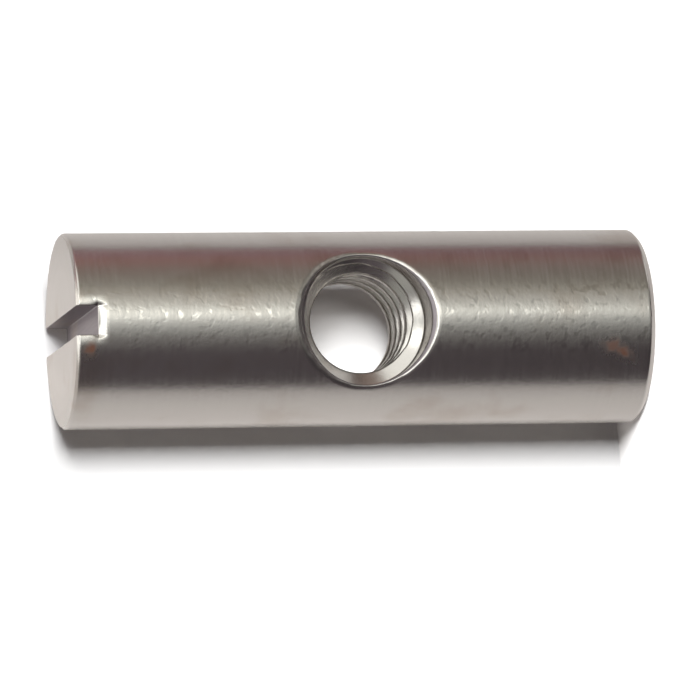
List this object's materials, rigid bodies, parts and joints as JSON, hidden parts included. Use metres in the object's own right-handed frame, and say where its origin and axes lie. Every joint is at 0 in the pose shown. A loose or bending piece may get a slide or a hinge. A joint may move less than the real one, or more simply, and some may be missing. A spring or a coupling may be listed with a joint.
{
  "type": "cross dowel barrel nut",
  "caption": "Plated steel cross dowel: a plain round barrel with a tapped cross hole for a connector bolt and a screwdriver slot across one end.",
  "frame": {"origin": "centre of the plain end face, on which the barrel stands", "axes": "+Z along the barrel towards the slotted end, Y along the tapped cross hole and the slot, X across them"},
  "size_m": [0.01, 0.01, 0.03],
  "materials": {
    "plated_steel": "bright zinc plate, turned and lightly scuffed"
  },
  "bodies": {
    "root": {"barrel_nut": "plated_steel"}
  },
  "joints": []
}
